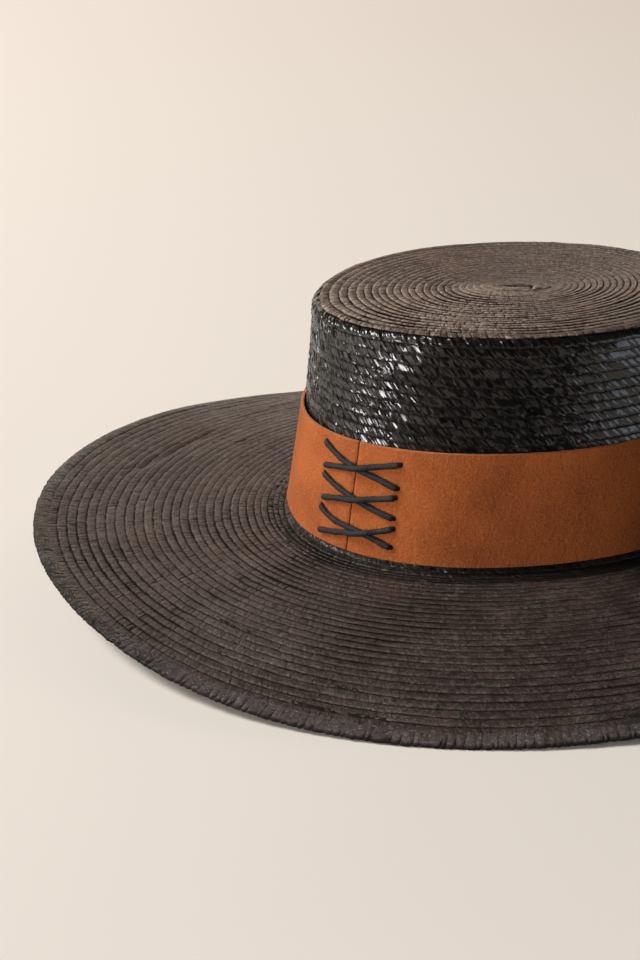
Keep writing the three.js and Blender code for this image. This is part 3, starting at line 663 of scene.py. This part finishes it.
# ---------------------------------------------------------------------------
# Rolled braid round the brim's edge
# ---------------------------------------------------------------------------
def edge_braid():
    sigc = S_EDGE - EDGE_W / 2 + ROLL_OUT
    ts = np.linspace(0, 2 * math.pi, 4001)
    p = surf(np.full(ts.shape, S_EDGE - 0.6), ts)
    arc = np.concatenate([[0], np.cumsum(np.linalg.norm(np.diff(p, axis=0), axis=1))])
    total = arc[-1]
    count = int(round(total / 3.5))
    r = np.random.default_rng(31)
    ub = (np.arange(count) + r.uniform(-0.38, 0.38, count)) * total / count
    ub = np.append(ub, ub[0] + total)
    fr = np.array([0, 0.1, 0.2, 0.50, 0.8, 0.9])
    k = np.repeat(np.arange(count), len(fr))
    F = np.tile(fr, count)
    ra, rb, rc, rd = r.uniform(-1, 1, (4, count))
    gap = r.random(count)
    shade = 0.5 + 1.5 * value_noise(ub[:-1] / 7.0, 33) + 0.8 * value_noise(ub[:-1] / 23.0, 34)
    ring = 16
    a = (np.arange(ring) + 0.5) / ring * 2 * math.pi
    cx = np.sign(np.cos(a)) * np.abs(np.cos(a)) ** 0.80 * ROLL_W / 2
    cy = np.sign(np.sin(a)) * np.abs(np.sin(a)) ** 0.55 * ROLL_T / 2
    v = np.where(a < math.pi, a, 2 * math.pi - a) / math.pi        # 0 outermost, 1 innermost
    outer = smooth(0.56, 0.20, v)
    # on top the strands lie flat; outside they fold under and leave small notches, which get painted shade, as does
    # the outer face, most of all at the front
    wide = 0.03 + 0.36 * outer
    Fv = np.where(F[:, None] < 0.4, F[:, None] / 0.2 * wide[None, :], np.where(F[:, None] > 0.6, 1 - (1 - F[:, None]) / 0.2 * wide[None, :], 0.5))
    UU = ub[k][:, None] + Fv * (ub[k + 1] - ub[k])[:, None] + 1.2 * v[None, :] + 0.6 * value_noise(ub[k] / 7.0, 17)[:, None]
    th = np.interp(UU % total, arc, ts)
    U = ub[k] + F * (ub[k + 1] - ub[k])
    P, N, D = surf_frame(np.full(th.shape, sigc), th)
    front = 0.20 + 0.80 * smooth(0.55, 0.96, np.cos(th - 252 * RAD))
    inward = ROLL_W / 2 - cx                                       # how far in from the outer face
    apart = np.minimum(Fv, 1 - Fv) * (ub[k + 1] - ub[k])[:, None]  # and how far from the gap beside the strand
    reach = front * (0.6 + 3.0 * gap[k][:, None] ** 1.1 * np.clip(1 - apart / (0.5 + 1.0 * rc[k][:, None] ** 2), 0, 1))
    notch = smooth(-0.7, 0.5, reach - inward[None, :])
    notch = np.where(v[None, :] < 0.5, notch, 0)
    first = ((F < 0.15) | (F > 0.85))[:, None]
    dip = np.where(first, -0.015 - 0.05 * gap[k][:, None] ** 4, 0.0) - 0.26 * notch * (apart < 0.7)
    own = np.where(first, 0.0, (0.04 * ra[k] * (F - 0.5) + 0.02 * rc[k])[:, None] + (0.05 * rb[k])[:, None] * np.cos(a)[None, :])
    sway = 0.16 * value_noise(U / 11.0, 8) + 0.22 * value_noise(U / 37.0, 9)
    out = (0.55 * sway + 0.20 * value_noise(U / 2.9, 15) + 0.10 * rd[k])[:, None] * np.cos(a).clip(0, 1)[None, :]
    x = cx[None, :] + (dip + own) * np.cos(a)[None, :] + out
    y = cy[None, :] + (dip + own) * np.sin(a)[None, :] + 0.35 * sway[:, None] - 0.42
    V = P + D * x[..., None] + N * y[..., None]
    cols = len(U)
    # painted shade in the notches and on the outer face, and a little in the gaps between strands
    painted_hollow_shade = np.maximum(np.where(first, 0.25 * gap[k][:, None] ** 4 * (1 - 0.5 * outer)[None, :], 0.0), 0.92 * notch)
    uv = np.stack([UU, 8 * v[None, :] + 0 * U[:, None]], -1).reshape(-1, 2)
    # painted light and shade by side: painted highlights along the roll's front, painted shade at its back, and darker
    # overall
    painted_light_and_shade = 3.6 * np.maximum(0, np.cos(th - 252 * RAD)) ** 4 - 0.7 - 0.8 * np.maximum(0, np.cos(th - 125 * RAD))
    braid = np.stack([shade[k][:, None] + painted_light_and_shade, painted_hollow_shade, 0.5 + 0 * painted_hollow_shade], -1).reshape(-1, 3)
    quads = tube_quads(cols, ring, closed=True)
    return mesh_object("straw_edge_roll", V.reshape(-1, 3), quads, STRAW_EDGE, None, uv, braid, sharp=50)


parts["edge"] = edge_braid()


# ---------------------------------------------------------------------------
# Leather band
# ---------------------------------------------------------------------------
def on_band(t, z, out):
    """Point on the band's leather, `out` mm outside its inner face, and its outward normal."""
    away = np.cos(t - 186 * RAD)
    stand = np.where(away > 0, BAND_STAND_OFF * np.abs(away) ** 24 * (np.maximum(z, 0) / BAND_H) ** 2, 0)

    def at(tt):
        a, b, full, cx, cy = crown_oval(z)
        g = CLEAR + stand
        x, y = oval(a + g, b + g, full, cx, cy, tt)
        return np.stack([x, y, z + 0 * x], -1)
    p = at(t)
    d = at(t + 0.003) - at(t - 0.003)
    n = np.stack([d[..., 1], -d[..., 0], 0 * d[..., 0]], -1)
    n /= np.linalg.norm(n, axis=-1, keepdims=True)
    n[..., 2] = 0.12
    n /= np.linalg.norm(n, axis=-1, keepdims=True)
    return p + n * np.asarray(out)[..., None], n


BAND_ARC_T = np.linspace(BAND_SEAM - 180, BAND_SEAM + 180, 7201) * RAD


def station(u, z):
    """Station angle at the arc length u from the seam, measured on the band's face at height z."""
    u, z = np.broadcast_arrays(np.asarray(u, float), np.asarray(z, float))
    out = np.empty(u.shape)
    for i, (uu, zz) in enumerate(zip(u.ravel(), z.ravel())):
        a, b, full, cx, cy = crown_oval(zz)
        g = CLEAR + BAND_T
        x, y = oval(a + g, b + g, full, cx, cy, BAND_ARC_T)
        s = np.concatenate([[0], np.cumsum(np.hypot(np.diff(x), np.diff(y)))])
        s -= s[3600]
        out.ravel()[i] = np.interp(uu, s, BAND_ARC_T)
    return out


HOLES = [(r[1], r[2]) for r in LACING] + [(r[7], r[8]) for r in LACING]


def band():
    zs = np.array([0.0, 0.35, 1.2, 3, 6, 10, 14, 18, 22, 26, 30, 34, 38, 42, 45.5, 48, 49.6, 50.25, BAND_H])
    # columns: close together near the seam
    half = 293.0
    near = np.concatenate([[0.22, 0.45, 0.9, 1.6], np.arange(2.4, 28, 0.8)])
    far = np.linspace(28, half, 170)
    pos = np.concatenate([near, far[1:]])
    zmid = 25.0
    tl = station(-pos, zmid)
    tr = station(pos, zmid)
    ts = np.concatenate([tr, (tl + 2 * math.pi)[::-1][1:]])
    # both halves meet opposite the seam
    ts = np.sort(ts)
    us = np.interp(ts, BAND_ARC_T, np.linspace(-1, 1, len(BAND_ARC_T)))
    u = np.concatenate([pos, -pos[::-1][1:]])
    cols = len(ts)
    # section: outer face upwards, over the top edge, down the inner face
    outer = [(z, BAND_T, 0.0) for z in zs]
    outer[0] = (0.12, BAND_T - 0.30, 1.0)
    outer[-1] = (BAND_H - 0.12, BAND_T - 0.30, 1.0)
    inner = [(z, 0.0, 1.0) for z in (BAND_H, 40, 25, 10, 0.0)]
    sec = outer + [(BAND_H, BAND_T * 0.55, 1.0)] + inner + [(0.0, BAND_T * 0.55, 1.0)]
    Z = np.array([s[0] for s in sec])
    O = np.array([s[1] for s in sec])
    E = np.array([s[2] for s in sec])
    face = (np.arange(len(sec)) < len(zs))
    T, ZZ = np.meshgrid(ts, Z, indexing="ij")
    OO = np.broadcast_to(O, T.shape).copy()
    UU = np.broadcast_to(u[:, None], T.shape)
    # leather dips where the lacing pulls it, and the cut ends roll down a little
    # painted shade round each lacing hole, where the leather dips under the cord
    painted_dip_shade = np.zeros(T.shape)
    for hu, hz in HOLES:
        d = np.hypot(UU - hu, ZZ - hz)
        painted_dip_shade = np.maximum(painted_dip_shade, np.exp(-(d / 1.35) ** 2))
        OO -= np.where(face, 0.36 * np.exp(-(d / 2.1) ** 2), 0)
    OO -= np.where(face, 0.55 * np.exp(-(np.abs(UU) / 0.8) ** 1.4), 0)
    OO += np.where(face, 0.10 * np.sin(UU / 17.0 + ZZ / 21.0) + 0.08 * np.sin(UU / 6.3 + 1.3 * np.sin(ZZ / 9.0)), 0)
    OO += np.where(face, 0.14 * np.exp(-(ZZ / 2.0) ** 2), 0)
    zed = ZZ + 0.22 * np.sin(UU / 23.0) * (ZZ > 40) + 0.18 * np.sin(UU / 31.0 + 2) * (ZZ < 10)
    P, N = on_band(T, zed, OO)
    ring = len(sec)
    # painted shade in the seam's dip
    painted_seam_shade = np.exp(-(np.abs(UU) / 0.55) ** 2)
    edge = np.maximum(np.broadcast_to(E, T.shape) * (ZZ > 25), 0)
    braid = np.stack([edge, np.maximum(painted_dip_shade, 0.9 * painted_seam_shade), 0 * edge], -1).reshape(-1, 3)
    quads = tube_quads(cols, ring)[:, ::-1]
    tris = np.concatenate([cap(ring, 0, False), cap(ring, (cols - 1) * ring, True)])
    return mesh_object("leather_strip", P.reshape(-1, 3), quads, LEATHER, tris, None, braid, sharp=50)


parts["band"] = band()


# ---------------------------------------------------------------------------
# Lacing: twisted waxed cord
# ---------------------------------------------------------------------------
def catmull(points, n):
    p = np.array(points, float)
    p = np.vstack([2 * p[0] - p[1], p, 2 * p[-1] - p[-2]])
    seg = len(p) - 3
    t = np.linspace(0, seg, n)
    i = np.minimum(t.astype(int), seg - 1)
    w = (t - i)[:, None]
    p0, p1, p2, p3 = p[i], p[i + 1], p[i + 2], p[i + 3]
    return 0.5 * (2 * p1 + (p2 - p0) * w + (2 * p0 - 5 * p1 + 4 * p2 - p3) * w * w
                  + (3 * p1 - p0 - 3 * p2 + p3) * w ** 3)


def lace(row):
    name, u0, z0, ua, za, ub, zb, u1, z1, cross = row
    n = 150
    q = catmull([(u0, z0), (ua, za), (ub, zb), (u1, z1)], n)
    s = np.concatenate([[0], np.cumsum(np.linalg.norm(np.diff(q, axis=0), axis=1))])
    even = np.linspace(0, s[-1], n)
    q = np.stack([np.interp(even, s, q[:, 0]), np.interp(even, s, q[:, 1])], 1)
    end = np.minimum(even, even[-1] - even)
    hump = (CORD_D * 0.98) * np.exp(-(((q[:, 0] - cross) / 6.5) ** 4)) if cross is not None else 0.0
    under = 0 if cross is not None else -0.12
    out = BAND_T + CORD_D / 2 + 0.12 + under + hump - 1.7 * np.exp(-(end / 1.2) ** 2)
    T = station(q[:, 0], q[:, 1])
    P, N = on_band(T, q[:, 1], out)
    D = np.gradient(P, axis=0)
    D /= np.linalg.norm(D, axis=1, keepdims=True)
    B = np.cross(D, N)
    B /= np.linalg.norm(B, axis=1, keepdims=True)
    N2 = np.cross(B, D)
    ring = 18
    a = np.arange(ring) / ring * 2 * math.pi
    twist = even / 5.6 * 2 * math.pi
    lobes = 1 - 0.10 * np.abs(np.sin(1.5 * (a[None, :] - twist[:, None])))
    taper = 0.66 + 0.34 * smooth(0, 2.2, end)
    rad = (CORD_D / 2 * CORD_FAT * lobes) * taper[:, None] * (1 + 0.09 * value_noise(even / 2.6, 11)[:, None])
    V = P[:, None] + B[:, None] * (np.cos(a) * 1.04)[None, :, None] * rad[..., None] \
        + N2[:, None] * (np.sin(a) * 0.80)[None, :, None] * rad[..., None]
    uv = np.stack([even[:, None] + 0 * a, (a[None, :] - twist[:, None]) / 3.0], -1).reshape(-1, 2)
    quads = tube_quads(n, ring)
    tris = np.concatenate([cap(ring, 0, True), cap(ring, (n - 1) * ring, False)])
    return mesh_object(name + "_cord", V.reshape(-1, 3), quads, CORD, tris, uv, None, sharp=60)


laces = [(row[0], lace(row)) for row in LACING]


def straw_end(name, x0, y0, x1, y1, wide, high, lift, shade, painted_hollow_shade, material):
    """A short flat end of straw lying on the tip, bent over its middle."""
    n, ring = 9, 10
    q = np.linspace(0, 1, n)
    a = np.arange(ring) / ring * 2 * math.pi
    d = np.array([x1 - x0, y1 - y0])
    side = np.array([-d[1], d[0]]) / np.hypot(*d)
    body = 0.30 + 0.70 * np.sin(math.pi * np.clip(q, 0.04, 0.96)) ** 0.6
    bend = 0.35 * np.sin(math.pi * q)
    c = np.array([x0, y0])[None, :] + d[None, :] * q[:, None] + side[None, :] * (bend * wide)[:, None]
    xy = c[:, None, :] + side[None, None, :] * (np.cos(a)[None, :] * wide / 2 * body[:, None])[..., None]
    z = CROWN_H + lift + high * body[:, None] * (0.5 + 0.5 * np.sin(a))[None, :] + 0.12 * np.sin(5 * q)[:, None]
    V = np.concatenate([xy, z[..., None]], -1)
    V[:, :, 2] += (TIP_TILT * V[:, :, 0]) * smooth(0.55 * TIP_R, TIP_R, np.hypot(V[:, :, 0], V[:, :, 1]))
    uv = np.stack([q[:, None] * 3 + 0 * a, 2 * a[None, :] + 0 * q[:, None]], -1).reshape(-1, 2)
    braid = np.tile([shade, painted_hollow_shade, 0.6], (n * ring, 1))
    tris = np.concatenate([cap(ring, 0, True), cap(ring, (n - 1) * ring, False)])
    quads = tube_quads(n, ring)
    ob = mesh_object(name, V.reshape(-1, 3), quads, material, tris, uv, braid, sharp=60)
    return ob


parts["end_pale"] = straw_end("straw_start_end", 12.9, -10.3, 17.5, -9.5, 3.6, 1.3, 0.25, 1.0, 0.0, STRAW_END)
# the fold is painted fully dark as the painted shade of the slit
parts["end_dark"] = straw_end("straw_start_fold", 11.2, -8.0, 13.9, -8.3, 2.6, 0.40, 0.75, 0.0, 1.0, STRAW_TIP)

# ---------------------------------------------------------------------------
# Riding, replacing
# ---------------------------------------------------------------------------
for key, ob in parts.items():
    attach(ob, "root")
for key in ("tip", "side", "behind", "foot", "end_pale", "end_dark"):
    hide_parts("crown")
for key in ("inner", "middle", "outer"):
    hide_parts("brim")
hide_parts("brim_edge_braid")
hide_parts("band")
for node, ob in laces:
    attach(ob, "root")
    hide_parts(node)

# ---------------------------------------------------------------------------
# Floor, light, camera
# ---------------------------------------------------------------------------
floor_me = bpy.data.meshes.new("floor")
R = 9.0
floor_me.from_pydata([(-R, -R, 0), (R, -R, 0), (R, R, 0), (-R, R, 0)], [], [(0, 1, 2, 3)])
floor = bpy.data.objects.new("floor", floor_me)
bpy.context.scene.collection.objects.link(floor)
fm = Mat("floor_cream")
fm.b.inputs["Base Color"].default_value = rgb(0.797, 0.732, 0.672)
fm.b.inputs["Roughness"].default_value = 0.9
fm.b.inputs["Specular IOR Level"].default_value = 0.2
floor_me.materials.append(fm.m)
bpy.context.scene.view_settings.view_transform = "Standard"

WORLD = 0.02
world = bpy.data.worlds.new("studio")
bpy.context.scene.world = world
world.use_nodes = True
bg = world.node_tree.nodes["Background"]
bg.inputs["Color"].default_value = rgb(1.0, 0.93, 0.86)
bg.inputs["Strength"].default_value = WORLD


def area(name, azimuth, elevation, distance, size, power, colour, target=(0, 0, 0.05), shape="RECTANGLE", size_y=None):
    """A soft light at this azimuth (from +X towards +Y) and elevation round the hat, in degrees."""
    li = bpy.data.lights.new(name, "AREA")
    li.shape = shape
    li.size = size
    li.size_y = size_y or size
    li.energy = power
    li.color = colour
    ob = bpy.data.objects.new(name, li)
    a, e = azimuth * RAD, elevation * RAD
    at = Vector(target) + distance * Vector((math.cos(a) * math.cos(e), math.sin(a) * math.cos(e), math.sin(e)))
    ob.location = at
    ob.rotation_euler = (Vector(target) - at).to_track_quat("-Z", "Y").to_euler()
    bpy.context.scene.collection.objects.link(ob)
    ob.visible_camera = False
    return ob


#   name      azimuth elevation distance  size  size_y  power  colour
LIGHTS = [
    ("key",      165, 42, 5.0, 1.8, 1.8, 272, (1.0, 0.99, 0.96)),
    ("window",   208, 8, 3.4, 0.90, 0.85, 70, (1.0, 0.98, 1.0)),
    ("backdrop",  82, 15, 4.6, 6.0, 2.2, 82, (1.0, 0.82, 0.68)),
    ("right",    331, 6, 4.0, 2.4, 1.0, 18, (0.76, 0.86, 1.0)),
    ("left",     185, 18, 4.5, 3.0, 2.4, 54, (1.0, 0.98, 0.92)),
]
for name, az, elev, dist, size, size_y, power, colour in LIGHTS:
    area(name, az, elev, dist, size, power, colour, size_y=size_y)

right = Vector((0.99455947, -0.09714991, -0.0375309))
up = Vector((0.0725145, 0.38736486, 0.91907519))
fwd = Vector((0.07474796, 0.91679186, -0.39230218))
cam_d = bpy.data.cameras.new("camera")
cam_d.sensor_width = 36
cam_d.sensor_fit = "AUTO"
cam_d.lens = 1753.6034 * 36 / 960
cam_d.clip_end = 50
cam = bpy.data.objects.new("camera", cam_d)
rot = Matrix((right, up, -fwd)).transposed().to_4x4()
cam.matrix_world = Matrix.Translation((-0.150163, -0.769297, (340.606 + LIFT) / 1000)) @ rot
bpy.context.scene.collection.objects.link(cam)
bpy.context.scene.camera = cam
